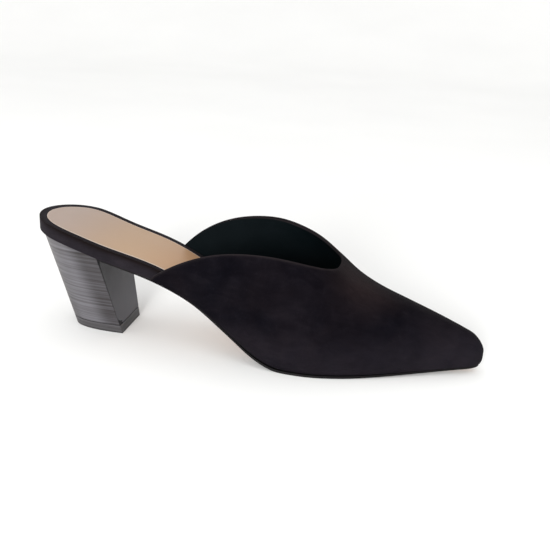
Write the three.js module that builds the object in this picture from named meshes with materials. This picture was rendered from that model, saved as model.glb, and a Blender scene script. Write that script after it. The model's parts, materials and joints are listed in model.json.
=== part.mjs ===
// Right-foot mule with a pointed toe, a V-cut collar and a stacked block heel.
// Millimetres, +Z up, +X to the toe, +Y to the wearer's left (the medial side of this right shoe).
// The origin is the middle of the heel tip's ground face.
import * as THREE from 'three';

// Main sizes of the last
const shoeLength = 255; // back of the seat to the tip of the toe, along the floor
const ballWidth = 72; // outside width of the upper at the ball
const seatRise = 56.3; // floor to the line of the sole at the back of the seat
const toeSpring = 3.2; // floor to the line of the sole at the tip of the toe
const throatHeight = 53.6; // floor to the ridge of the vamp at the throat
const noseRise = 2.6; // board edge to the top of the rounded nose

// Thicknesses and clearances
const upperWall = 1.8;
const fitGap = 0.3; // between pieces that meet
const soleThickness = 1.4;
const seatBoard = 7.2; // wrapped board under the heel and waist
const forepartBoard = 3.6; // board inside the upper
const sockThickness = 1.2;
const rimWidth = 4; // board rim that shows round the sock
const toeRim = 6; // that rim ahead of the sock, inside the toe
const soleLip = 0.2; // outsole edge that shows past the upper
const soleToeTrim = 1.6; // the outsole draws back under the tip of the toe
const featherTuck = 0.8; // the upper turns in over the sole edge
const featherRoll = 1.7; // height of that turn

// Ends of the outline, seen from above
const toeRadius = 5.5; // of the board; pieces outside it are rounder by their offset
const toeDepth = 8; // length over which the ridge rounds down to the nose
const seatRound = 29; // length over which the back of the seat rounds off
const sockNose = 2.7; // radius of the sock's nose, and of the pocket that it lies in

// Collar of the upper
const collarStart = 73; // back corner of the upper on the sole edge
const collarLean = 0.7; // forward run of the back edge for each millimetre up
const throatPlace = 173.5; // deepest point of the V cut

// Heel
const breastTop = 41.7; // front face of the heel under the board
const tipFront = 52.6; // front face of the heel on the floor
const tipLength = 32.7;
const tipWidth = 28.2;
const tipThickness = 5;
const heelInset = 1.8; // heel behind the edge of the board
const tipSquareness = 2.7; // 2 is an ellipse, more is squarer

// Where thicknesses and widths along the sole finish changing
const thinBoardStart = 127; // the board is at its forepart thickness from here on
const fullSoleStart = 146; // the outsole is at its full width from here on

// Fineness of the meshes
const lengthSteps = 34;
const sideRows = 16;
const slabStep = 5; // shared by the flat pieces, so that their facets lie parallel
const leastStep = 1.7;
const endSteps = 6;
const endStretch = 21; // length of the closer steps round the seat
const heelRows = 7;
const heelFan = 13;
const weldGrid = 1e4; // points are one when they agree to this share of a millimetre
const halvings = 40;

// Line of the sole seen from the side: place as a share of the length,
// height as a share of the seat rise; the two rows of 0 bound the flat tread
const soleLine = [
  { place: 0.000, height: 1.000 },
  { place: 0.078, height: 0.946 },
  { place: 0.176, height: 0.815 },
  { place: 0.274, height: 0.699 },
  { place: 0.372, height: 0.520 },
  { place: 0.470, height: 0.237 },
  { place: 0.528, height: 0.075 },
  { place: 0.579, height: 0.000 },
  { place: 0.665, height: 0.000 },
];

// Toe spring ahead of the tread: place as a share of the way from tread to tip, height of the spring
const springLine = [
  { place: 0.00, height: 0.00 },
  { place: 0.30, height: 0.16 },
  { place: 0.65, height: 0.55 },
  { place: 1.00, height: 1.00 },
];

// Half widths of the board from above, as shares of half the ball width
const boardOutline = [
  { place: 0.000, lateral: 0.719, medial: 0.722 },
  { place: 0.117, lateral: 0.719, medial: 0.736 },
  { place: 0.235, lateral: 0.706, medial: 0.680 },
  { place: 0.352, lateral: 0.678, medial: 0.617 },
  { place: 0.450, lateral: 0.758, medial: 0.653 },
  { place: 0.548, lateral: 0.908, medial: 0.806 },
  { place: 0.626, lateral: 0.953, medial: 0.942 },
  { place: 0.705, lateral: 0.867, medial: 0.914 },
  { place: 0.783, lateral: 0.683, medial: 0.750 },
  { place: 0.861, lateral: 0.464, medial: 0.500 },
  { place: 0.932, lateral: 0.258, medial: 0.270 },
  { place: 1.000, lateral: 0.075, medial: 0.075 },
];

// Sections of the upper: height of the ridge over the floor as a share of the throat height, and how
// square the section is; the rows behind the throat only carry the side walls, which the collar cuts
const ridgeLine = [
  { place: 0.286, height: 2.600, squareness: 6.0 },
  { place: 0.470, height: 2.000, squareness: 5.0 },
  { place: 0.548, height: 1.550, squareness: 4.0 },
  { place: 0.626, height: 1.210, squareness: 3.0 },
  { place: 0.682, height: 1.000, squareness: 2.8 },
  { place: 0.717, height: 0.874, squareness: 2.6 },
  { place: 0.764, height: 0.770, squareness: 2.3 },
  { place: 0.831, height: 0.660, squareness: 2.2 },
  { place: 0.889, height: 0.566, squareness: 2.2 },
  { place: 0.940, height: 0.474, squareness: 2.2 },
  { place: 1.000, height: 0.350, squareness: 2.2 },
];

// Collar between its back corner and the throat: share of the way along the floor, and the bow
// above the straight line between those two as a share of the throat height
const collarLine = [
  { way: 0.000, lateral: 0.000, medial: 0.000 },
  { way: 0.095, lateral: 0.095, medial: 0.164 },
  { way: 0.247, lateral: 0.198, medial: 0.308 },
  { way: 0.349, lateral: 0.243, medial: 0.350 },
  { way: 0.451, lateral: 0.263, medial: 0.362 },
  { way: 0.552, lateral: 0.267, medial: 0.344 },
  { way: 0.654, lateral: 0.246, medial: 0.296 },
  { way: 0.756, lateral: 0.190, medial: 0.224 },
  { way: 0.857, lateral: 0.114, medial: 0.148 },
  { way: 0.939, lateral: 0.047, medial: 0.068 },
  { way: 1.000, lateral: 0.000, medial: 0.000 },
];

const halfBall = ballWidth / 2;
const boardLength = shoeLength - upperWall - fitGap;
const featherRise = soleThickness + fitGap; // sole line to the underside of board and upper
const edgeRise = forepartBoard + fitGap; // straight foot of the upper beside the board
const treadEnd = soleLine.at(-1).place * shoeLength;
const collarCorner = collarStart + collarLean * edgeRise;

// A smooth curve through a table's rows that never overshoots them
function smooth(rows, along, column, at) {
  if (at <= rows[0][along]) return rows[0][column];
  if (at >= rows.at(-1)[along]) return rows.at(-1)[column];
  const spans = rows.slice(1).map((row, k) => row[along] - rows[k][along]);
  const slopes = spans.map((span, k) => (rows[k + 1][column] - rows[k][column]) / span);
  const tangent = (k) => {
    if (k === 0) return slopes[0];
    if (k === slopes.length) return slopes[k - 1];
    if (slopes[k - 1] * slopes[k] <= 0) return 0;
    const before = spans[k] * 2 + spans[k - 1];
    const after = spans[k] + spans[k - 1] * 2;
    return (before + after) / (before / slopes[k - 1] + after / slopes[k]);
  };
  const k = rows.findIndex((row) => row[along] > at) - 1;
  const t = (at - rows[k][along]) / spans[k];
  const rise = rows[k + 1][column] - rows[k][column];
  const bend = (tangent(k) + tangent(k + 1)) * spans[k] - 2 * rise;
  const lead = 3 * rise - (2 * tangent(k) + tangent(k + 1)) * spans[k];
  return rows[k][column] + t * (tangent(k) * spans[k] + t * (lead + t * bend));
}

// A share of 0 to 1 spaced closer at the far end
const easeEnd = (share) => Math.sin((Math.PI / 2) * share);

// A quarter round: 1 at its start, 0 at its end
const quarter = (share) => Math.sqrt(Math.max(0, 1 - share * share));

// Height of the sole's ground line at a place along the floor
function soleHeight(x) {
  if (x <= treadEnd) return seatRise * smooth(soleLine, 'place', 'height', x / shoeLength);
  const way = (x - treadEnd) / (shoeLength - treadEnd);
  return toeSpring * smooth(springLine, 'place', 'height', way);
}

const featherHeight = (x) => soleHeight(x) + featherRise;
const edgeHeight = (x) => featherHeight(x) + edgeRise;

// Board from its full thickness at the waist to the thin forepart inside the upper
function boardThickness(x) {
  const way = THREE.MathUtils.smoothstep(x, collarStart, thinBoardStart);
  return THREE.MathUtils.lerp(seatBoard, forepartBoard, way);
}

const boardTop = (x) => featherHeight(x) + boardThickness(x);

// Half width of the board's outline on one side, moved outward by an offset, with round ends
function halfWidth(side, x, offset) {
  const body = halfBall * smooth(boardOutline, 'place', side, x / shoeLength) + offset;
  const fromBack = (seatRound - x) / (seatRound + offset);
  const inPocket = offset <= -rimWidth;
  const noseRadius = inPocket ? sockNose : toeRadius + offset;
  const end = boardLength + (inPocket ? rimWidth - toeRim + offset : offset);
  const toToe = (x - (end - noseRadius)) / noseRadius;
  return body * quarter(Math.max(fromBack, 0)) * quarter(Math.max(toToe, 0));
}

// Collects welded points and triangles, and makes them a geometry
class Net {
  constructor() {
    this.places = [];
    this.faces = [];
    this.known = new Map();
  }

  point(x, y, z) {
    const key = [x, y, z].map((value) => Math.round(value * weldGrid)).join();
    if (!this.known.has(key)) {
      this.known.set(key, this.places.length / 3);
      this.places.push(x, y, z);
    }
    return this.known.get(key);
  }

  triangle(a, b, c) {
    if (a !== b && b !== c && c !== a) this.faces.push(a, b, c);
  }

  quad(a, b, c, d) {
    this.triangle(a, b, c);
    this.triangle(a, c, d);
  }

  // Skins a grid of points; its rows and columns run so that the faces point out
  grid(rows, flipped = false) {
    for (let r = 0; r + 1 < rows.length; r += 1) {
      for (let c = 0; c + 1 < rows[r].length; c += 1) {
        const corners = [rows[r][c], rows[r][c + 1], rows[r + 1][c + 1], rows[r + 1][c]];
        if (flipped) corners.reverse();
        this.quad(...corners);
      }
    }
  }

  geometry() {
    const geometry = new THREE.BufferGeometry();
    geometry.setAttribute('position', new THREE.Float32BufferAttribute(this.places, 3));
    geometry.setIndex(this.faces);
    geometry.computeVertexNormals();
    return geometry;
  }
}

function piece(name, geometry, color, roughness, metalness = 0) {
  const material = new THREE.MeshStandardMaterial({ color, roughness, metalness });
  const mesh = new THREE.Mesh(geometry, material);
  mesh.name = name;
  return mesh;
}

// Rise of the section from the board edge to the ridge, rounded down to the nose
function sectionRise(x, layer) {
  const end = boardLength + layer.offset;
  const body = throatHeight * smooth(ridgeLine, 'place', 'height', x / shoeLength) - edgeHeight(x);
  const toNose = (x - (end - toeDepth)) / toeDepth;
  return noseRise + (body - noseRise) * quarter(Math.max(toNose, 0)) - layer.drop;
}

// Height over the floor of one side of the collar
function collarHeight(side, way) {
  const line = THREE.MathUtils.lerp(edgeHeight(collarCorner), throatHeight, way);
  return line + throatHeight * smooth(collarLine, 'way', side, way);
}

// Angle from board edge to ridge, up to a quarter turn, at which the collar cuts the section
function collarAngle(side, way) {
  const x = THREE.MathUtils.lerp(collarCorner, throatPlace, way);
  const level = (collarHeight(side, way) - edgeHeight(x)) / sectionRise(x, outerLayer);
  const squareness = smooth(ridgeLine, 'place', 'squareness', x / shoeLength);
  return Math.asin(THREE.MathUtils.clamp(level, 0, 1) ** (squareness / 2));
}

// Place along the floor where the collar reaches an angle, found by halving
function collarPlace(side, angle) {
  let low = 0;
  let high = 1;
  for (let turn = 0; turn < halvings; turn += 1) {
    const middle = (low + high) / 2;
    if (collarAngle(side, middle) < angle) low = middle;
    else high = middle;
  }
  return THREE.MathUtils.lerp(collarCorner, throatPlace, (low + high) / 2);
}

// Rows of the upper from the sole edge to the ridge: height beside the board, then angles
function upperRows(side) {
  const foot = [
    { height: 0, tuck: featherTuck, angle: 0 },
    { height: featherRoll, tuck: 0, angle: 0 },
    { height: edgeRise, tuck: 0, angle: 0 },
  ];
  const rows = foot.map((row) => ({ ...row, start: collarStart + collarLean * row.height }));
  for (let k = 1; k <= sideRows; k += 1) {
    const angle = k === sideRows ? Math.PI / 2 : collarAngle('lateral', easeEnd(k / sideRows));
    const start = k === sideRows ? throatPlace : collarPlace(side, angle);
    rows.push({ height: edgeRise, tuck: 0, angle, start });
  }
  return rows;
}

const outerLayer = { offset: fitGap + upperWall, drop: 0 };
const innerLayer = { offset: fitGap, drop: upperWall };

// One point of the upper's outer or inner surface
function upperPoint(net, side, layer, row, share) {
  const offset = layer.offset - (layer === outerLayer ? row.tuck : 0);
  const x = THREE.MathUtils.lerp(row.start, boardLength + offset, easeEnd(share));
  const squareness = smooth(ridgeLine, 'place', 'squareness', x / shoeLength);
  const across = Math.max(Math.cos(row.angle), 0) ** (2 / squareness);
  const up = Math.sin(row.angle) ** (2 / squareness);
  const width = row.angle === Math.PI / 2 ? 0 : halfWidth(side, x, offset) * across;
  const z = featherHeight(x) + row.height + sectionRise(x, layer) * up;
  return net.point(x, side === 'lateral' ? -width : width, z);
}

function makeUpper() {
  const net = new Net();
  const lateral = upperRows('lateral').map((row) => ({ row, side: 'lateral' }));
  const medial = upperRows('medial').map((row) => ({ row, side: 'medial' }));
  const lines = [...lateral, ...medial.slice(0, -1).reverse()];
  const shares = Array.from({ length: lengthSteps + 1 }, (_, k) => k / lengthSteps);
  const surface = (layer) => lines.map(
    ({ row, side }) => shares.map((share) => upperPoint(net, side, layer, row, share)),
  );
  const outer = surface(outerLayer);
  const inner = surface(innerLayer);
  net.grid(outer);
  net.grid(inner, true);
  net.grid([inner[0], outer[0]]);
  net.grid([outer.at(-1), inner.at(-1)]);
  net.grid([outer.map((line) => line[0]), inner.map((line) => line[0])]);
  return net.geometry();
}

// Places along a flat piece: shared steps between its ends, closer ones where an end is round
function slabPlaces(start, end) {
  const toeStart = boardLength - toeDepth;
  const roundStart = start < endStretch;
  const places = roundStart ? [] : [start];
  for (let k = 0; k <= endSteps; k += 1) {
    const run = 1 - easeEnd(1 - k / endSteps);
    places.push(THREE.MathUtils.lerp(end, toeStart, run));
    if (roundStart) places.push(THREE.MathUtils.lerp(start, endStretch, run));
  }
  const low = Math.max(start, endStretch) + leastStep;
  for (let x = slabStep; x < toeStart - leastStep; x += slabStep) {
    if (x > low) places.push(x);
  }
  return places.sort((a, b) => a - b);
}

// One edge of a flat piece, along the board's outline at an offset
function slabEdge(net, side, places, offset, height) {
  return places.map((x) => {
    const width = halfWidth(side, x, offset(x));
    return net.point(x, side === 'lateral' ? -width : width, height(x));
  });
}

// A flat piece that follows the board's outline and the sole's line; a pocket of a given depth, as wide
// as the rim leaves it, lies in its top
function makeSlab({ start, end, offset, top, bottom, pocket }) {
  const net = new Net();
  const edges = (from, to, shift, height) => ['lateral', 'medial'].map(
    (side) => slabEdge(net, side, slabPlaces(from, to), shift, height),
  );
  const [lateralTop, medialTop] = edges(start, end, offset, top);
  const [lateralBottom, medialBottom] = edges(start, end, offset, bottom);
  net.grid([medialTop, medialBottom, lateralBottom, lateralTop]);
  net.quad(lateralTop[0], medialTop[0], medialBottom[0], lateralBottom[0]);
  net.quad(medialTop.at(-1), lateralTop.at(-1), lateralBottom.at(-1), medialBottom.at(-1));
  if (!pocket) {
    net.grid([lateralTop, medialTop]);
    return net.geometry();
  }
  const inside = (height) => edges(start + rimWidth, end - toeRim, () => -rimWidth, height);
  const [lateralRim, medialRim] = inside(top);
  const [lateralFloor, medialFloor] = inside((x) => top(x) - pocket);
  net.grid([lateralTop, lateralRim, lateralFloor, medialFloor, medialRim, medialTop]);
  return net.geometry();
}

function makeBoard() {
  return makeSlab({
    start: 0,
    end: boardLength,
    offset: () => 0,
    top: boardTop,
    bottom: featherHeight,
    pocket: sockThickness + fitGap, // deep enough that the sock lies flush with the rim
  });
}

function makeSock() {
  const inset = rimWidth + fitGap;
  return makeSlab({
    start: inset,
    end: boardLength - toeRim - fitGap,
    offset: () => -inset,
    top: boardTop,
    bottom: (x) => boardTop(x) - sockThickness,
  });
}

// The outsole shows past the upper ahead of the waist and is trimmed inside the board behind it
function makeOutsole() {
  const wide = outerLayer.offset + soleLip;
  const breastRun = ((tipFront - breastTop) * featherRise) / featherHeight(breastTop);
  const offset = (x) => {
    const way = THREE.MathUtils.smoothstep(x, breastTop, fullSoleStart);
    const trim = soleToeTrim * THREE.MathUtils.smoothstep(x, treadEnd, boardLength);
    return THREE.MathUtils.lerp(-heelInset, wide, way) - trim;
  };
  return makeSlab({
    start: breastTop + breastRun + fitGap,
    end: boardLength + wide - soleToeTrim,
    offset,
    top: (x) => soleHeight(x) + soleThickness,
    bottom: soleHeight,
  });
}

// Point of the heel's side at a turn round its back and a height above the floor;
// the heel is ruled from the board's outline down to the tip's D
function heelPoint(turn, height) {
  const side = turn < 0 ? 'lateral' : 'medial';
  const hand = turn < 0 ? -1 : 1;
  const back = Math.cos(turn) ** (2 / tipSquareness);
  const across = Math.abs(Math.sin(turn)) ** (2 / tipSquareness);
  const topX = breastTop - (breastTop - heelInset) * back;
  const topY = hand * halfWidth(side, topX, -heelInset);
  const topZ = featherHeight(topX) - fitGap;
  const floorX = tipFront - tipLength * back;
  const floorY = hand * (tipWidth / 2) * across;
  const way = height === undefined ? 0 : (topZ - height) / topZ;
  return [
    THREE.MathUtils.lerp(topX, floorX, way),
    THREE.MathUtils.lerp(topY, floorY, way),
    THREE.MathUtils.lerp(topZ, 0, way),
  ];
}

// A stretch of the heel between two heights; without an upper height it reaches the board
function makeHeelPart(low, high) {
  const net = new Net();
  const turns = [];
  for (let k = -heelFan; k <= heelFan; k += 1) turns.push((k / heelFan) * (Math.PI / 2));
  const ring = (share) => turns.map((turn) => {
    const top = heelPoint(turn, high)[2];
    return net.point(...heelPoint(turn, THREE.MathUtils.lerp(top, low, share)));
  });
  const rings = Array.from({ length: heelRows + 1 }, (_, k) => ring(k / heelRows));
  net.grid(rings);
  rings.forEach((points, k) => {
    if (k === 0) return;
    const above = rings[k - 1];
    net.quad(above.at(-1), above[0], points[0], points.at(-1));
  });
  const cap = (points, flipped) => {
    const back = points.slice(0, heelFan + 1);
    const front = points.slice(heelFan).reverse();
    net.grid([back, front], flipped);
  };
  cap(rings[0], true);
  cap(rings.at(-1), false);
  return net.geometry();
}

const shoe = new THREE.Group();
shoe.add(
  piece('upper', makeUpper(), 0x2a2426, 0.95),
  piece('insole_board', makeBoard(), 0x241f22, 0.9),
  piece('insole_sock', makeSock(), 0xd7ac84, 0.6),
  piece('outsole', makeOutsole(), 0x4a3527, 0.6),
  piece('heel_block', makeHeelPart(tipThickness + fitGap), 0x35302f, 0.45),
  piece('heel_tip', makeHeelPart(0, tipThickness), 0x1f1d1e, 0.7),
);
shoe.position.x = tipLength / 2 - tipFront;

export default shoe;
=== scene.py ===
import json
import math

import bpy
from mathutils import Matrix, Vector, geometry, kdtree

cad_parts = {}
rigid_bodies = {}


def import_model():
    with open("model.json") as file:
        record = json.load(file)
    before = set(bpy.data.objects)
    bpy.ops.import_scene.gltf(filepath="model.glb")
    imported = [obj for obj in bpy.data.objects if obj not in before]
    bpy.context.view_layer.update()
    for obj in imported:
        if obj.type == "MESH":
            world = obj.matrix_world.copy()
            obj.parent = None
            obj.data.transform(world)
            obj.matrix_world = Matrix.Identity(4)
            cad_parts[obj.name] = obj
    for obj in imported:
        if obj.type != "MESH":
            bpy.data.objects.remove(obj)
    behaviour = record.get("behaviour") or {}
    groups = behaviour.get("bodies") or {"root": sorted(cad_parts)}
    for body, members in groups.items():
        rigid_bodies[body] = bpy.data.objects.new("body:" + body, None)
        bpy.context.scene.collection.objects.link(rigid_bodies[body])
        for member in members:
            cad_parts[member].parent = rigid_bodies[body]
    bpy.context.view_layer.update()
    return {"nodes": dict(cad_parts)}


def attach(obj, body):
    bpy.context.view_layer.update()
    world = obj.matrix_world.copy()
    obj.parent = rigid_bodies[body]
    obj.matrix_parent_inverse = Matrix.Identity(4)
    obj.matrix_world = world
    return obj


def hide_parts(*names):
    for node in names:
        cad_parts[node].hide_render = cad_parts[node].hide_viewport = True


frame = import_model()

mm = 0.001
weldReach = 0.004 * mm  # facets of a CAD node share corners within this
sharpTurn = math.radians(42)  # edges that turn more than this are corners of a piece
quadBend = math.radians(35)  # two triangles that bend less than this become one face
quadSkew = math.radians(60)
bevelProfile = 0.6  # 0.5 is a true round, more is fuller


# Selecting and shaping, as by hand

def deselectAll():
    active = bpy.context.view_layer.objects.active
    if active and active.mode != "OBJECT":
        bpy.ops.object.mode_set(mode="OBJECT")
    bpy.ops.object.select_all(action="DESELECT")


def makeActive(piece):
    deselectAll()
    piece.select_set(True)
    bpy.context.view_layer.objects.active = piece


def editAll(piece, kind="FACE"):
    makeActive(piece)
    bpy.ops.object.mode_set(mode="EDIT")
    bpy.ops.mesh.select_mode(type=kind)
    bpy.ops.mesh.select_all(action="SELECT")


def leaveEdit():
    bpy.ops.object.mode_set(mode="OBJECT")


def pickFaces(piece, test):  # leaves edit mode open with the faces that pass the test selected
    editAll(piece)
    bpy.ops.mesh.select_all(action="DESELECT")
    leaveEdit()
    for face in piece.data.polygons:
        face.select = test(face)
    bpy.ops.object.mode_set(mode="EDIT")


def sharpEdges(piece):
    editAll(piece, "EDGE")
    bpy.ops.mesh.select_all(action="DESELECT")
    bpy.ops.mesh.edges_select_sharp(sharpness=sharpTurn)
    leaveEdit()
    return [edge for edge in piece.data.edges if edge.select]


def mergedCopy(nodeName, pieceName):  # the node itself is never touched
    piece = bpy.data.objects.new(pieceName, frame["nodes"][nodeName].data.copy())
    bpy.context.scene.collection.objects.link(piece)
    piece.data.materials.clear()
    makeActive(piece)
    bpy.ops.mesh.customdata_custom_splitnormals_clear()
    editAll(piece)
    bpy.ops.mesh.remove_doubles(threshold=weldReach)
    bpy.ops.mesh.tris_convert_to_quads(face_threshold=quadBend, shape_threshold=quadSkew)
    leaveEdit()
    return piece


def giveMaterials(piece, *materials):
    for material in materials:
        piece.data.materials.append(material)


def roundEdges(piece, width, segments, share=None):  # share gives a sharp edge its part of the width
    bevel = piece.modifiers.new("roundedEdges", "BEVEL")
    bevel.width = width
    bevel.segments = segments
    bevel.profile = bevelProfile
    if share:
        corners = sharpEdges(piece)
        weights = piece.data.attributes.new("bevel_weight_edge", "FLOAT", "EDGE").data
        for edge in corners:
            weights[edge.index].value = share(edge)
        bevel.limit_method = "WEIGHT"
    else:
        bevel.limit_method = "ANGLE"
        bevel.angle_limit = sharpTurn
    makeActive(piece)
    bpy.ops.object.modifier_apply(modifier=bevel.name)


def smoothSurface(piece, levels):
    makeActive(piece)
    surface = piece.modifiers.new("smoothSurface", "SUBSURF")
    surface.levels = levels
    surface.render_levels = levels
    bpy.ops.object.modifier_apply(modifier=surface.name)
    bpy.ops.object.shade_smooth()


def linePoints(piece, edges, steps=8):  # close points along edges of a mesh
    corners = piece.data.vertices
    lines = [[corners[index].co.copy() for index in edge.vertices] for edge in edges]
    return [first.lerp(last, step / steps) for first, last in lines for step in range(steps + 1)]


def fadeOut(distance, reach):  # 1 at no distance, 0 from the reach on, with no corner between
    near = 1.0 - min(distance / reach, 1.0)
    return near * near * (3.0 - 2.0 * near)


def markNear(piece, attributeName, points, reach):  # 1 at the points, fading to 0 at the reach
    tree = kdtree.KDTree(len(points))
    for index, point in enumerate(points):
        tree.insert(point, index)
    tree.balance()
    values = piece.data.attributes.new(attributeName, "FLOAT", "POINT").data
    for corner, value in zip(piece.data.vertices, values):
        value.value = fadeOut(tree.find(corner.co)[2], reach)


def dress(piece, nodeName):
    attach(piece, "root")
    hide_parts(nodeName)
    triangles = sum(len(face.vertices) - 2 for face in piece.data.polygons)
    print(f"{piece.name}: stands for {nodeName}, {triangles} triangles")


# Shader groups that more than one finish uses

def newGroup(name, inputs, outputs):
    group = bpy.data.node_groups.new(name, "ShaderNodeTree")
    group.interface.new_socket("Vector", in_out="INPUT", socket_type="NodeSocketVector")
    for label, value in inputs.items():
        socket = group.interface.new_socket(label, in_out="INPUT", socket_type="NodeSocketFloat")
        socket.default_value = value
    for label in outputs:
        group.interface.new_socket(label, in_out="OUTPUT", socket_type="NodeSocketFloat")
    return group, group.nodes.new("NodeGroupInput"), group.nodes.new("NodeGroupOutput")


def addNode(tree, kind, links=None, **settings):
    node = tree.nodes.new(kind)
    for label, value in settings.items():
        setattr(node, label, value)
    for label, source in (links or {}).items():
        socket = node.inputs[label]
        if isinstance(source, bpy.types.NodeSocket):
            tree.links.new(source, socket)
        else:
            socket.default_value = source
    return node


def addMath(tree, operation, first, second):
    return addNode(tree, "ShaderNodeMath", {0: first, 1: second}, operation=operation).outputs[0]


def addShares(tree, *shares):  # the sum of values, each times its share
    total = 0.0
    for source, share in shares:
        total = addMath(tree, "ADD", total, addMath(tree, "MULTIPLY", source, share))
    return total


def stretch(tree, vector, factors):
    return addNode(tree, "ShaderNodeVectorMath", {0: vector, 1: factors}, operation="MULTIPLY").outputs[0]


def addNoise(tree, vector, scale, detail, roughness=0.55, distortion=0.0):
    links = {"Vector": vector, "Scale": scale, "Detail": detail, "Roughness": roughness,
             "Distortion": distortion}
    return addNode(tree, "ShaderNodeTexNoise", links).outputs["Fac"]


def mapValue(tree, value, fromLow, fromHigh, toLow=0.0, toHigh=1.0, kind="LINEAR"):
    links = {"Value": value, "From Min": fromLow, "From Max": fromHigh, "To Min": toLow, "To Max": toHigh}
    return addNode(tree, "ShaderNodeMapRange", links, clamp=True, interpolation_type=kind).outputs[0]


def spreadNoise(tree, value, low, high):  # noise lies mostly between 0.3 and 0.7
    return mapValue(tree, value, 0.3, 0.7, low, high)


def buildNapGroup():  # brushed suede: soft patches, strokes along the shoe and short fibres
    scales = {"Patches": 60.0, "Strokes": 240.0, "Fibres": 2200.0}
    group, given, result = newGroup("suedeNap", scales, ["Tone", "Drift", "Height"])
    vector = given.outputs["Vector"]
    patches = addNoise(group, vector, given.outputs["Patches"], 4.0, 0.6, 0.8)
    brushed = stretch(group, vector, (0.28, 1.0, 0.8))
    strokes = addNoise(group, brushed, given.outputs["Strokes"], 3.0, 0.6, 1.2)
    fibres = addNoise(group, vector, given.outputs["Fibres"], 2.0, 0.7, 0.6)
    drift = addNoise(group, stretch(group, vector, (1.0, 1.0, 1.3)), 34.0, 3.0, 0.55, 0.5)
    tone = addShares(group, (patches, 0.4), (strokes, 0.35), (fibres, 0.25))
    height = addShares(group, (fibres, 0.7), (strokes, 0.3))
    group.links.new(tone, result.inputs["Tone"])
    group.links.new(drift, result.inputs["Drift"])
    group.links.new(height, result.inputs["Height"])
    return group


def buildGrainGroup():  # smooth leather: pebbles between fine creases, and a slow drift of tone
    group, given, result = newGroup("leatherGrain", {"Pebbles": 1300.0, "Drift": 40.0}, ["Tone", "Height"])
    vector = given.outputs["Vector"]
    wander = stretch(group, addNoise(group, vector, 700.0, 2.0), (0.0006, 0.0006, 0.0006))
    bent = addNode(group, "ShaderNodeVectorMath", {0: vector, 1: wander}, operation="ADD").outputs[0]
    cells = addNode(group, "ShaderNodeTexVoronoi", {"Vector": bent, "Scale": given.outputs["Pebbles"]},
                    feature="DISTANCE_TO_EDGE").outputs["Distance"]
    pebbles = mapValue(group, cells, 0.0, 0.22)
    pores = addNoise(group, vector, 5200.0, 1.0)
    drift = addNoise(group, vector, given.outputs["Drift"], 4.0, 0.6, 0.5)
    group.links.new(addShares(group, (drift, 0.85), (pebbles, 0.08), (pores, 0.07)), result.inputs["Tone"])
    group.links.new(addShares(group, (pebbles, 0.75), (pores, 0.25)), result.inputs["Height"])
    return group


def buildLayerGroup():  # stacked leather: level layers, fine lines in them, and joints a step apart
    steps = {"Layers": 520.0, "Lines": 1900.0, "Step": 2.6 * mm}
    group, given, result = newGroup("stackedLayers", steps, ["Tone", "Joint", "Height"])
    vector = given.outputs["Vector"]
    level = stretch(group, vector, (0.006, 0.006, 1.0))
    layers = addNoise(group, level, given.outputs["Layers"], 1.0, 0.5)
    lines = addNoise(group, stretch(group, vector, (0.012, 0.012, 1.0)), given.outputs["Lines"], 2.0, 0.6)
    height = addNode(group, "ShaderNodeSeparateXYZ", {"Vector": vector}).outputs["Z"]
    half = addMath(group, "MULTIPLY", given.outputs["Step"], 0.5)
    joint = mapValue(group, addMath(group, "PINGPONG", height, half), 0.0, 0.16 * mm, 1.0, 0.0)
    breaks = addNoise(group, stretch(group, vector, (1.0, 1.0, 3.0)), 110.0, 2.0)
    joint = addMath(group, "MULTIPLY", joint, spreadNoise(group, breaks, 0.1, 1.0))
    group.links.new(addShares(group, (layers, 0.55), (lines, 0.45)), result.inputs["Tone"])
    group.links.new(joint, result.inputs["Joint"])
    group.links.new(addShares(group, (lines, 0.5), (joint, -0.5)), result.inputs["Height"])
    return group


napGroup = buildNapGroup()
grainGroup = buildGrainGroup()
layerGroup = buildLayerGroup()


def newFinish(name, settings):  # a material and its shader; uniform numbers go straight on its sockets
    material = bpy.data.materials.new(name)
    material.use_nodes = True
    shader = material.node_tree.nodes["Principled BSDF"]
    for label, value in settings.items():
        shader.inputs[label].default_value = value
    place = material.node_tree.nodes.new("ShaderNodeTexCoord").outputs["Object"]
    return material, material.node_tree, shader, place


def placeGroup(tree, group, place, **values):
    node = addNode(tree, "ShaderNodeGroup", node_tree=group)
    tree.links.new(place, node.inputs["Vector"])
    for label, value in values.items():
        node.inputs[label].default_value = value
    return node.outputs


def toneRamp(tree, tone, stops):  # stops are pairs of place and colour
    ramp = tree.nodes.new("ShaderNodeValToRGB")
    elements = ramp.color_ramp.elements
    while len(elements) < len(stops):
        elements.new(0.5)  # every stop gets its own place below
    for element, (position, colour) in zip(elements, stops):
        element.position = position
        element.color = (*colour, 1.0)
    tree.links.new(tone, ramp.inputs["Fac"])
    return ramp.outputs["Color"]


mixSockets = {"amount": 0, "first": 6, "second": 7, "result": 2}  # a Mix node's sockets for colours


def mixColours(tree, amount, first, second):
    node = tree.nodes.new("ShaderNodeMix")
    node.data_type = "RGBA"
    for label, source in (("amount", amount), ("first", first), ("second", second)):
        socket = node.inputs[mixSockets[label]]
        if isinstance(source, bpy.types.NodeSocket):
            tree.links.new(source, socket)
        else:
            socket.default_value = (*source, 1.0) if isinstance(source, tuple) else source
    return node.outputs[mixSockets["result"]]


def addBump(tree, shader, height, distance, strength):
    bump = addNode(tree, "ShaderNodeBump", {"Height": height, "Strength": strength, "Distance": distance})
    tree.links.new(bump.outputs["Normal"], shader.inputs["Normal"])


def readAttribute(tree, name):
    return addNode(tree, "ShaderNodeAttribute", attribute_name=name).outputs["Fac"]


def alongAxis(tree, place, axis, low, high):  # 0 to 1 between two places along an axis
    parts = addNode(tree, "ShaderNodeSeparateXYZ", {"Vector": place})
    return mapValue(tree, parts.outputs[axis], low, high, kind="SMOOTHSTEP")


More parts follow.
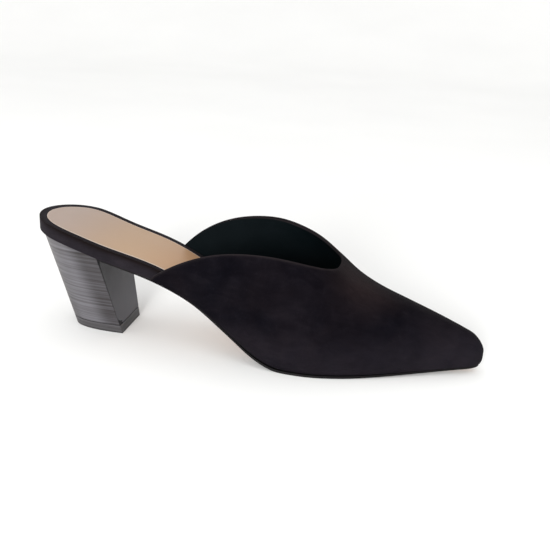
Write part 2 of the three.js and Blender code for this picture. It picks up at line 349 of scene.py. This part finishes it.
def nearPoint(tree, place, point, reach):  # 1 at a point of the shoe, fading to 0 at the reach
    away = addNode(tree, "ShaderNodeVectorMath", {0: place, 1: point}, operation="DISTANCE")
    return mapValue(tree, away.outputs["Value"], 0.0, reach, 1.0, 0.0, "SMOOTHSTEP")


# Floor, light and camera

stageSettings = {
    "floorRadius": 2.2,
    "floorSides": 96,
    "wallReach": 1.2,
    "wallHeight": 1.5,
    "sweepWidth": 0.7,  # of the bend between floor and wall
    "sweepSteps": 12,
    "sweepTurn": math.radians(20),
    "floorColour": (0.93, 0.93, 0.92),
    "floorShade": (0.90, 0.90, 0.89),
    "skyColour": (1.0, 1.0, 1.0, 1.0),
    "skyStrength": 1.0,
}


def makeFloor(settings):
    whole = settings["floorRadius"] + settings["wallReach"]
    sides = settings["floorSides"]
    bpy.ops.mesh.primitive_circle_add(vertices=sides, radius=whole, fill_type="NGON", location=(0, 0, 0))
    floor = bpy.context.object
    floor.name = "studioFloor"
    editAll(floor)
    bpy.ops.mesh.inset(thickness=settings["wallReach"])
    bpy.ops.mesh.select_mode(type="VERT")
    bpy.ops.mesh.select_all(action="DESELECT")
    leaveEdit()
    for corner in floor.data.vertices:
        corner.select = corner.co.length > whole - settings["wallReach"] / 2
    bpy.ops.object.mode_set(mode="EDIT")
    bpy.ops.transform.translate(value=(0, 0, settings["wallHeight"]))
    leaveEdit()
    bevel = floor.modifiers.new("sweep", "BEVEL")
    bevel.width = settings["sweepWidth"]
    bevel.segments = settings["sweepSteps"]
    bevel.limit_method = "ANGLE"
    bevel.angle_limit = settings["sweepTurn"]
    bpy.ops.object.modifier_apply(modifier=bevel.name)
    bpy.ops.object.shade_smooth()
    material, tree, shader, place = newFinish("palePaper", {"Roughness": 0.9, "Specular IOR Level": 0.1})
    tone = spreadNoise(tree, addNoise(tree, place, 3.0, 2.0), 0.0, 1.0)
    colour = mixColours(tree, tone, settings["floorColour"], settings["floorShade"])
    tree.links.new(colour, shader.inputs["Base Color"])
    giveMaterials(floor, material)


lightSettings = {  # place and aim in metres, power in watts
    "windowKey": {"place": (-0.04, -1.34, 0.37), "aim": (0.07, 0.0, 0.02), "size": 0.5, "power": 22.0},
}


def aimedObject(name, data, settings):  # stands at its place and looks at its aim
    thing = bpy.data.objects.new(name, data)
    bpy.context.scene.collection.objects.link(thing)
    thing.location = settings["place"]
    direction = Vector(settings["aim"]) - Vector(settings["place"])
    thing.rotation_euler = direction.to_track_quat("-Z", "Y").to_euler()
    return thing


def makeLights(settings):
    for name, light in settings.items():
        data = bpy.data.lights.new(name, "AREA")
        data.shape = "DISK"
        data.size = light["size"]
        data.energy = light["power"]
        aimedObject(name, data, light)


def makeSky(settings):
    world = bpy.data.worlds.new("studioSky")
    bpy.context.scene.world = world
    world.use_nodes = True
    background = world.node_tree.nodes["Background"]
    background.inputs["Color"].default_value = settings["skyColour"]
    background.inputs["Strength"].default_value = settings["skyStrength"]


cameraSettings = {
    "place": (0.1698, -0.3987, 0.1923),
    "aim": (0.0955, 0.0307, 0.0300),
    "roll": 3.37,  # degrees, right side up
    "lens": 50.73,
    "clip": (0.01, 20.0),
}


def makeCamera(settings):
    data = bpy.data.cameras.new("photoCamera")
    data.lens = settings["lens"]
    data.clip_start, data.clip_end = settings["clip"]
    camera = aimedObject("photoCamera", data, settings)
    camera.rotation_euler.rotate_axis("Z", math.radians(settings["roll"]))
    bpy.context.scene.camera = camera


makeFloor(stageSettings)
makeLights(lightSettings)
makeSky(stageSettings)
makeCamera(cameraSettings)
bpy.context.scene.view_settings.view_transform = "Standard"
print("stage: floor, lights and camera are in place")


# Vamp: suede outside and over the topline, black leather inside

vampSettings = {
    "edgeWidth": 0.5 * mm,
    "edgeSteps": 3,
    "edgeReach": 1.7 * mm,  # how far down the painted highlight on the topline's edge shows
    "levels": 2,
    "insideSeed": (0.110, 0.0, 0.030),  # a point in the shoe, under the instep
    "axisHeight": 0.012,  # the soft forms push towards this height in the middle of the shoe
    "underTurn": -0.4,  # faces that look down more than this belong to the sole edge
}

softForms = [  # each runs between two points of the vamp; a ridge has a depth under 0
    {"start": (0.142, 0.000, 0.052), "end": (0.178, 0.000, 0.035),
     "reach": 6.0 * mm, "depth": -0.30 * mm},
    {"start": (0.140, -0.019, 0.043), "end": (0.168, -0.015, 0.033),
     "reach": 8.0 * mm, "depth": 0.34 * mm},
    {"start": (0.140, 0.019, 0.043), "end": (0.168, 0.015, 0.033),
     "reach": 8.0 * mm, "depth": 0.30 * mm},
    {"start": (0.124, -0.034, 0.017), "end": (0.139, -0.026, 0.036),
     "reach": 5.5 * mm, "depth": 0.26 * mm},
    {"start": (0.134, -0.032, 0.015), "end": (0.148, -0.023, 0.033),
     "reach": 5.0 * mm, "depth": -0.16 * mm},
    {"start": (0.128, 0.034, 0.017), "end": (0.142, 0.025, 0.036),
     "reach": 5.5 * mm, "depth": 0.24 * mm},
    {"start": (0.062, -0.026, 0.028), "end": (0.084, -0.029, 0.022),
     "reach": 5.0 * mm, "depth": 0.20 * mm},
    {"start": (0.188, -0.010, 0.022), "end": (0.206, -0.004, 0.019),
     "reach": 6.0 * mm, "depth": 0.18 * mm},
]

suedeSettings = {
    "dark": (0.0012, 0.0010, 0.0020),
    "middle": (0.0025, 0.0023, 0.0038),
    "light": (0.0060, 0.0054, 0.0076),
    # a painted sheen on the instep ridge, warmer and lighter than the suede
    "ridgeSheen": (0.0235, 0.0155, 0.0155),
    # a painted highlight along the topline's rounded edge
    "edge": (0.0170, 0.0138, 0.0146),
    "fuzz": (0.0150, 0.0135, 0.0150),  # the nap's sheen, where it is seen from its side
    "fuzzFrom": 0.45,  # 0 is seen face on, 1 from the side
    "fuzzMost": 0.9,
    "lowAndToeSheen": (0.0108, 0.0094, 0.0126),  # a painted sheen, low round the shoe and at the toe
    "ridgeSheenPlace": (0.149, -0.004, 0.047),  # the painted sheen sits over the instep, ahead of the throat
    "ridgeSheenReach": 32 * mm,
    "lowSheenRise": (0.030, 0.008),  # from this height down
    "toeSheenRun": (0.165, 0.205),  # and from this place forward
}

liningSettings = {
    "stops": [(0.3, (0.0012, 0.0028, 0.0036)), (0.7, (0.0028, 0.0048, 0.0058))],
}


def makeSuede(settings):
    material, tree, shader, place = newFinish("blackSuede", {
        "Specular IOR Level": 0.02,
        "Sheen Weight": 0.02,
        "Sheen Roughness": 0.4,
        "Sheen Tint": (0.75, 0.68, 0.70, 1.0),
    })
    nap = placeGroup(tree, napGroup, place, Patches=55.0, Strokes=210.0, Fibres=2300.0)
    stops = [(0.32, settings["dark"]), (0.5, settings["middle"]), (0.7, settings["light"])]
    colour = toneRamp(tree, nap["Tone"], stops)
    # painted sheen over the instep ridge, broken up by the nap
    instep = nearPoint(tree, place, settings["ridgeSheenPlace"], settings["ridgeSheenReach"])
    ridgeSheenMask = addShares(tree, (instep, 0.85), (spreadNoise(tree, nap["Drift"], 0.0, 1.0), 0.15))
    ridgeSheenMask = addMath(tree, "MULTIPLY", ridgeSheenMask, spreadNoise(tree, nap["Tone"], 0.4, 1.0))
    # painted sheen: lighter low round the shoe and at the toe
    lowAndToeSheen = addShares(tree, (alongAxis(tree, place, "Z", *settings["lowSheenRise"]), 0.75),
                       (alongAxis(tree, place, "X", *settings["toeSheenRun"]), 0.5))
    lowAndToeSheen = addMath(tree, "MULTIPLY", lowAndToeSheen, spreadNoise(tree, nap["Tone"], 0.4, 1.0))
    colour = mixColours(tree, lowAndToeSheen, colour, settings["lowAndToeSheen"])
    colour = mixColours(tree, ridgeSheenMask, colour, settings["ridgeSheen"])
    # painted highlight along the topline's rounded edge
    brushed = addMath(tree, "MULTIPLY", readAttribute(tree, "toplineEdge"),
                      spreadNoise(tree, nap["Tone"], 0.5, 0.95))
    colour = mixColours(tree, brushed, colour, settings["edge"])
    facing = addNode(tree, "ShaderNodeLayerWeight", {"Blend": 0.5}).outputs["Facing"]
    fuzz = mapValue(tree, facing, settings["fuzzFrom"], 1.0, 0.0, settings["fuzzMost"])
    fuzz = addMath(tree, "MULTIPLY", fuzz, spreadNoise(tree, nap["Tone"], 0.5, 1.0))
    colour = mixColours(tree, fuzz, colour, settings["fuzz"])
    tree.links.new(colour, shader.inputs["Base Color"])
    tree.links.new(spreadNoise(tree, nap["Tone"], 0.88, 1.0), shader.inputs["Roughness"])
    addBump(tree, shader, nap["Height"], distance=0.3 * mm, strength=0.6)
    return material


def makeLining(settings):
    material, tree, shader, place = newFinish("blackLining", {"Specular IOR Level": 0.03})
    grain = placeGroup(tree, grainGroup, place, Pebbles=1700.0, Drift=45.0)
    tree.links.new(toneRamp(tree, grain["Tone"], settings["stops"]), shader.inputs["Base Color"])
    tree.links.new(spreadNoise(tree, grain["Tone"], 0.55, 0.68), shader.inputs["Roughness"])
    addBump(tree, shader, grain["Height"], distance=0.1 * mm, strength=0.4)
    return material


def pushForms(vamp, forms, axisHeight):  # both walls move together, so that the wall keeps its thickness
    for corner in vamp.data.vertices:
        inward = Vector((0, -corner.co.y, axisHeight - corner.co.z)).normalized()
        push = 0.0
        for form in forms:
            start, end = Vector(form["start"]), Vector(form["end"])
            nearest, way = geometry.intersect_point_line(corner.co, start, end)
            nearest = start.lerp(end, min(max(way, 0.0), 1.0))
            push += form["depth"] * fadeOut((corner.co - nearest).length, form["reach"])
        corner.co += inward * push


def makeVamp(settings):
    vamp = mergedCopy("upper", "vamp")
    giveMaterials(vamp, makeSuede(suedeSettings), makeLining(liningSettings))
    sharpEdges(vamp)
    bpy.ops.object.mode_set(mode="EDIT")
    bpy.ops.mesh.mark_sharp()
    leaveEdit()
    seed = Vector(settings["insideSeed"])
    facing = [face for face in vamp.data.polygons if face.normal.dot(seed - face.center) > 0]
    inner = min(facing, key=lambda face: (face.center - seed).length).index
    pickFaces(vamp, lambda face: face.index == inner)
    bpy.ops.mesh.select_linked(delimit={"SHARP"})
    vamp.active_material_index = 1
    bpy.ops.object.material_slot_assign()
    leaveEdit()
    lining = sum(face.material_index for face in vamp.data.polygons)
    print(f"vamp: {lining} of {len(vamp.data.polygons)} faces are lining")
    topline = findTopline(vamp, settings["underTurn"])
    roundEdges(vamp, settings["edgeWidth"], settings["edgeSteps"])
    smoothSurface(vamp, settings["levels"])
    markNear(vamp, "toplineEdge", topline, settings["edgeReach"])
    pushForms(vamp, softForms, settings["axisHeight"])
    dress(vamp, "upper")


def findTopline(vamp, underTurn):  # points along the suede's corners beside the ring that meets the lining
    lining = {key for face in vamp.data.polygons if face.material_index for key in face.edge_keys}
    suede = [face for face in vamp.data.polygons if not face.material_index]
    ring = [face for face in suede if face.normal.z > underTurn and lining.intersection(face.edge_keys)]
    rim = {key for face in ring for key in face.edge_keys}
    sharp = [edge for edge in vamp.data.edges if edge.use_edge_sharp and edge.key in rim]
    return linePoints(vamp, sharp)


# Board wrapped in suede, with a rim round the sock

boardSettings = {
    "rimRound": 1.5 * mm,
    "rimSteps": 4,
    "cornerShare": 0.25,  # the other corners are this much as round as the rim
    "rimReach": 3.6 * mm,
    "levels": 2,
    "endRound": 30 * mm,  # ends of the board, where its wall turns across
    "upTurn": 0.6,  # faces that look up more than this are the top
    "dark": (0.0062, 0.0052, 0.0068),
    "middle": (0.0112, 0.0094, 0.0120),
    "light": (0.0190, 0.0160, 0.0195),
    "rim": (0.0048, 0.0030, 0.0030),
}


def makeWrap(settings):
    material, tree, shader, place = newFinish("wrapSuede", {
        "Specular IOR Level": 0.05,
        "Sheen Weight": 0.05,
        "Sheen Roughness": 0.4,
        "Sheen Tint": (0.72, 0.66, 0.74, 1.0),
    })
    nap = placeGroup(tree, napGroup, place, Patches=90.0, Strokes=300.0, Fibres=2300.0)
    stops = [(0.32, settings["dark"]), (0.5, settings["middle"]), (0.7, settings["light"])]
    colour = toneRamp(tree, nap["Tone"], stops)
    colour = mixColours(tree, readAttribute(tree, "rimEdge"), colour, settings["rim"])
    tree.links.new(colour, shader.inputs["Base Color"])
    tree.links.new(spreadNoise(tree, nap["Tone"], 0.85, 1.0), shader.inputs["Roughness"])
    addBump(tree, shader, nap["Height"], distance=0.25 * mm, strength=0.6)
    return material


def outsideOf(piece, endRound, upTurn):  # a test for wall faces that look away from the piece's middle
    along = [corner.co.x for corner in piece.data.vertices]
    low, high = min(along) + endRound, max(along) - endRound

    def test(face):
        middle = Vector((min(max(face.center.x, low), high), 0.0, face.center.z))
        return abs(face.normal.z) < upTurn and face.normal.dot(face.center - middle) > 0

    return test


def makeBoardWrap(settings):
    board = mergedCopy("insole_board", "boardWrap")
    giveMaterials(board, makeWrap(settings))
    faces = board.data.polygons
    outside = outsideOf(board, settings["endRound"], settings["upTurn"])
    upward = {key for face in faces if face.normal.z > settings["upTurn"] for key in face.edge_keys}
    outward = {key for face in faces if outside(face) for key in face.edge_keys}
    rimKeys = upward & outward
    rim = linePoints(board, [edge for edge in board.data.edges if edge.key in rimKeys])
    roundEdges(board, settings["rimRound"], settings["rimSteps"],
               lambda edge: 1.0 if edge.key in rimKeys else settings["cornerShare"])
    smoothSurface(board, settings["levels"])
    markNear(board, "rimEdge", rim, settings["rimReach"])
    dress(board, "insole_board")


# Sock of tan leather

sockSettings = {
    "cuts": (-20 * mm, -10 * mm, 0.0, 10 * mm, 20 * mm),  # lengthwise cuts that let the sock take a crown
    "crown": 0.45 * mm,
    "crownReach": 14 * mm,
    "edgeRound": 0.35 * mm,
    "edgeSteps": 2,
    "edgeReach": 0.7 * mm,
    "levels": 2,
    "waistRun": (-0.022, 0.022),  # the tone turns from seat to waist between these places
    "instepRun": (0.018, 0.070),
    # greyer at the seat: partly the leather's own tone, partly a painted reflection of the sky
    "seat": (0.345, 0.265, 0.222),
    "waist": (0.400, 0.265, 0.162),
    "instep": (0.455, 0.248, 0.122),
    "edge": (0.60, 0.50, 0.42),
    "shade": (0.36, 0.235, 0.16),
}


def makeTan(settings):
    material, tree, shader, place = newFinish("tanSock", {
        "Specular IOR Level": 0.35,
        "Coat Roughness": 0.4,
        "Coat Weight": 0.08,
    })
    grain = placeGroup(tree, grainGroup, place, Pebbles=1500.0, Drift=30.0)
    towardsWaist = alongAxis(tree, place, "X", *settings["waistRun"])
    towardsInstep = alongAxis(tree, place, "X", *settings["instepRun"])
    colour = mixColours(tree, towardsWaist, settings["seat"], settings["waist"])
    colour = mixColours(tree, towardsInstep, colour, settings["instep"])
    colour = mixColours(tree, spreadNoise(tree, grain["Tone"], 0.22, 0.0), colour, settings["shade"])
    colour = mixColours(tree, readAttribute(tree, "sockEdge"), colour, settings["edge"])
    tree.links.new(colour, shader.inputs["Base Color"])
    tree.links.new(spreadNoise(tree, grain["Tone"], 0.42, 0.52), shader.inputs["Roughness"])
    addBump(tree, shader, grain["Height"], distance=0.08 * mm, strength=0.3)
    return material


def makeSock(settings):
    sock = mergedCopy("insole_sock", "sock")
    giveMaterials(sock, makeTan(settings))
    outline = linePoints(sock, sharpEdges(sock))
    for cut in settings["cuts"]:
        editAll(sock)
        bpy.ops.mesh.bisect(plane_co=(0, cut, 0), plane_no=(0, 1, 0))
        leaveEdit()
    roundEdges(sock, settings["edgeRound"], settings["edgeSteps"])
    smoothSurface(sock, settings["levels"])
    markNear(sock, "sockEdge", outline, settings["edgeReach"])
    markNear(sock, "fromEdge", outline, settings["crownReach"])
    fromEdge = sock.data.attributes["fromEdge"].data
    for corner, near in zip(sock.data.vertices, fromEdge):
        corner.co.z += settings["crown"] * (1.0 - near.value)
    sock.data.attributes.remove(sock.data.attributes["fromEdge"])
    dress(sock, "insole_sock")


# Outsole: tan leather with a black painted edge

soleSettings = {
    "margin": 0.9 * mm,  # black margin round the tan underside
    "underTurn": -0.5,  # faces that look down more than this are the underside
    "edgeRound": 0.3 * mm,
    "edgeSteps": 2,
    "levels": 2,
    "paint": [(0.3, (0.0020, 0.0018, 0.0022)), (0.7, (0.0050, 0.0045, 0.0048))],
    "tan": [(0.3, (0.33, 0.20, 0.13)), (0.5, (0.40, 0.25, 0.165)), (0.7, (0.47, 0.31, 0.21))],
}


def makeEdgePaint(stops):
    material, tree, shader, place = newFinish("edgePaint", {"Specular IOR Level": 0.12})
    grain = placeGroup(tree, grainGroup, place, Pebbles=900.0, Drift=120.0)
    tree.links.new(toneRamp(tree, grain["Tone"], stops), shader.inputs["Base Color"])
    tree.links.new(spreadNoise(tree, grain["Tone"], 0.42, 0.6), shader.inputs["Roughness"])
    addBump(tree, shader, grain["Height"], distance=0.08 * mm, strength=0.4)
    return material


def makeTanSole(stops):
    material, tree, shader, place = newFinish("tanSole", {"Specular IOR Level": 0.4})
    grain = placeGroup(tree, grainGroup, place, Pebbles=1100.0, Drift=60.0)
    tree.links.new(toneRamp(tree, grain["Tone"], stops), shader.inputs["Base Color"])
    tree.links.new(spreadNoise(tree, grain["Tone"], 0.36, 0.48), shader.inputs["Roughness"])
    addBump(tree, shader, grain["Height"], distance=0.1 * mm, strength=0.35)
    return material


def makeOutsole(settings):
    sole = mergedCopy("outsole", "outsoleLeather")
    giveMaterials(sole, makeEdgePaint(settings["paint"]), makeTanSole(settings["tan"]))
    pickFaces(sole, lambda face: face.normal.z < settings["underTurn"])
    bpy.ops.mesh.inset(thickness=settings["margin"])
    sole.active_material_index = 1
    bpy.ops.object.material_slot_assign()
    leaveEdit()
    roundEdges(sole, settings["edgeRound"], settings["edgeSteps"])
    smoothSurface(sole, settings["levels"])
    dress(sole, "outsole")


# Heel of stacked leather with a let-in breast, and its top piece

heelSettings = {
    "frontTurn": 0.8,  # faces that look forward more than this are the breast
    "breastEdge": 0.35 * mm,
    "breastDepth": 0.15 * mm,
    "breastTaper": 0.085,  # the let-in panel is this share narrower at its top
    "breastRise": (0.004, 0.044),  # painted floor reflection: the breast is lighter low and darkens upward between these heights
    "breastLow": (0.074, 0.071, 0.086),
    "breastHigh": (0.024, 0.023, 0.0305),
    "breastShade": (0.0144, 0.0138, 0.0183),
    # a painted shadow line along the lateral edge of the breast
    "shadowLineStops": [(0.3, (0.007, 0.0065, 0.008)), (0.7, (0.013, 0.012, 0.015))],
    "edgeRound": 0.15 * mm,
    "edgeSteps": 2,
    "levels": 2,
    "stops": [(0.38, (0.020, 0.017, 0.017)), (0.47, (0.034, 0.031, 0.033)),
              (0.54, (0.044, 0.041, 0.045)), (0.64, (0.062, 0.059, 0.065))],
    "sideHighlight": (0.165, 0.160, 0.176),  # a painted highlight down the middle of each side
    "lean": (1.0, 0.0, 0.33),  # the back and the breast rake along this
    "sideHighlightRise": (-0.016, -0.004),
    "sideHighlightFall": (0.002, 0.013),
    # brown streaks of the stain, also painting shade on the back of the heel
    "brownAndShade": (0.021, 0.0155, 0.0150),
    "brownAndShadeRun": (-0.007, -0.021),  # brown streaks and painted shade set in between these places, towards the back
    "streakStretch": (1.0, 1.0, 0.14),  # the streaks run up the heel
    "streakScale": 170.0,
    "streakShares": (0.35, 0.9),
    "joint": (0.012, 0.010, 0.010),
    "jointShare": 0.45,
    "rough": (0.44, 0.30),
    "gloss": {"Specular IOR Level": 0.22, "Coat Weight": 0.06, "Coat Roughness": 0.2},
}


def makeStack(settings):
    material, tree, shader, place = newFinish("stackedLeather", settings["gloss"])
    layers = placeGroup(tree, layerGroup, place)
    colour = toneRamp(tree, layers["Tone"], settings["stops"])
    upward = stretch(tree, place, settings["streakStretch"])
    streaks = addNoise(tree, upward, settings["streakScale"], 3.0, 0.6)
    streaks = mapValue(tree, streaks, 0.36, 0.62, *settings["streakShares"])
    # brown streaks towards the back: partly the stain, partly painted shade
    behind = alongAxis(tree, place, "X", *settings["brownAndShadeRun"])
    streaks = addMath(tree, "MULTIPLY", streaks, behind)
    colour = mixColours(tree, streaks, colour, settings["brownAndShade"])
    # painted highlight down the middle of each side, along the rake
    lean = addNode(tree, "ShaderNodeVectorMath", {0: place, 1: settings["lean"]}, operation="DOT_PRODUCT")
    rising = mapValue(tree, lean.outputs["Value"], *settings["sideHighlightRise"], kind="SMOOTHSTEP")
    falling = mapValue(tree, lean.outputs["Value"], *settings["sideHighlightFall"], 1.0, 0.0, "SMOOTHSTEP")
    sideHighlight = addMath(tree, "MULTIPLY", addMath(tree, "MULTIPLY", rising, falling),
                   spreadNoise(tree, layers["Tone"], 0.15, 0.65))
    colour = mixColours(tree, sideHighlight, colour, settings["sideHighlight"])
    joint = addMath(tree, "MULTIPLY", layers["Joint"], settings["jointShare"])
    colour = mixColours(tree, joint, colour, settings["joint"])
    tree.links.new(colour, shader.inputs["Base Color"])
    rough = mapValue(tree, layers["Tone"], 0.35, 0.65, *settings["rough"])
    tree.links.new(rough, shader.inputs["Roughness"])
    addBump(tree, shader, layers["Height"], distance=0.1 * mm, strength=0.45)
    return material


def makeBreast(settings):
    material, tree, shader, place = newFinish("breastLeather", {"Specular IOR Level": 0.4})
    grain = placeGroup(tree, grainGroup, place, Pebbles=1500.0, Drift=90.0)
    # painted floor reflection: lighter low, darker towards the top
    rise = alongAxis(tree, place, "Z", *settings["breastRise"])
    colour = mixColours(tree, rise, settings["breastLow"], settings["breastHigh"])
    shade = spreadNoise(tree, grain["Tone"], 0.35, 0.0)
    colour = mixColours(tree, shade, colour, settings["breastShade"])
    tree.links.new(colour, shader.inputs["Base Color"])
    tree.links.new(spreadNoise(tree, grain["Tone"], 0.42, 0.55), shader.inputs["Roughness"])
    addBump(tree, shader, grain["Height"], distance=0.08 * mm, strength=0.3)
    return material


# the painted shadow line beside the breast
def makeShadowLine(stops):
    material, tree, shader, place = newFinish("breastShadowLine", {"Specular IOR Level": 0.15})
    grain = placeGroup(tree, grainGroup, place, Pebbles=1500.0, Drift=90.0)
    tree.links.new(toneRamp(tree, grain["Tone"], stops), shader.inputs["Base Color"])
    tree.links.new(spreadNoise(tree, grain["Tone"], 0.5, 0.65), shader.inputs["Roughness"])
    return material


def spanOf(piece, face, axis):
    along = [piece.data.vertices[index].co[axis] for index in face.vertices]
    return max(along) - min(along)


def narrowPanel(heel, taper):  # the painted shadow line beside the let-in panel widens towards the board
    inside = {index for face in heel.data.polygons if face.select for index in face.vertices}
    corners = [heel.data.vertices[index] for index in inside]
    low = min(corner.co.z for corner in corners)
    high = max(corner.co.z for corner in corners)
    for corner in corners:
        corner.co.y *= 1.0 - taper * (corner.co.z - low) / (high - low)


def makeHeel(settings):
    heel = mergedCopy("heel_block", "stackedHeel")
    giveMaterials(heel, makeStack(settings), makeBreast(settings), makeShadowLine(settings["shadowLineStops"]))
    pickFaces(heel, lambda face: face.normal.x > settings["frontTurn"])
    heel.active_material_index = 1
    bpy.ops.object.material_slot_assign()
    bpy.ops.mesh.inset(thickness=settings["breastEdge"], depth=-settings["breastDepth"])
    leaveEdit()
    narrowPanel(heel, settings["breastTaper"])  # the panel is still selected, the ring round it is not
    around = [face for face in heel.data.polygons if face.material_index == 1 and not face.select]
    ring = {face.index for face in around}
    upright = [face for face in around if spanOf(heel, face, 2) > spanOf(heel, face, 1)]
    shadowLineFaces = {face.index for face in upright if face.center.y < 0}  # only the lateral side gets the painted shadow line
    pickFaces(heel, lambda face: face.index in shadowLineFaces)
    heel.active_material_index = 2
    bpy.ops.object.material_slot_assign()
    leaveEdit()
    pickFaces(heel, lambda face: face.material_index == 1 and face.index not in ring)
    bpy.ops.mesh.inset(thickness=settings["breastEdge"])  # holds the panel flat up to its edge
    leaveEdit()
    roundEdges(heel, settings["edgeRound"], settings["edgeSteps"])
    smoothSurface(heel, settings["levels"])
    dress(heel, "heel_block")


tipSettings = {
    "edgeRound": 0.3 * mm,
    "edgeSteps": 2,
    "levels": 2,
    "stops": [(0.38, (0.024, 0.022, 0.023)), (0.5, (0.046, 0.043, 0.046)), (0.64, (0.070, 0.067, 0.073))],
    "foot": (0.012, 0.0115, 0.0125),  # the darker lower edge
    "footRise": (0.0002, 0.0016),
}


def makeTip(settings):
    tip = mergedCopy("heel_tip", "topPiece")
    rubber, tree, shader, place = newFinish("tipRubber", {"Specular IOR Level": 0.4})
    layers = placeGroup(tree, layerGroup, place)
    foot = alongAxis(tree, place, "Z", *settings["footRise"])
    colour = mixColours(tree, foot, settings["foot"], toneRamp(tree, layers["Tone"], settings["stops"]))
    tree.links.new(colour, shader.inputs["Base Color"])
    tree.links.new(spreadNoise(tree, layers["Tone"], 0.42, 0.56), shader.inputs["Roughness"])
    addBump(tree, shader, layers["Height"], distance=0.08 * mm, strength=0.4)
    giveMaterials(tip, rubber)
    roundEdges(tip, settings["edgeRound"], settings["edgeSteps"])
    smoothSurface(tip, settings["levels"])
    dress(tip, "heel_tip")


makeVamp(vampSettings)
makeBoardWrap(boardSettings)
makeSock(sockSettings)
makeOutsole(soleSettings)
makeHeel(heelSettings)
makeTip(tipSettings)
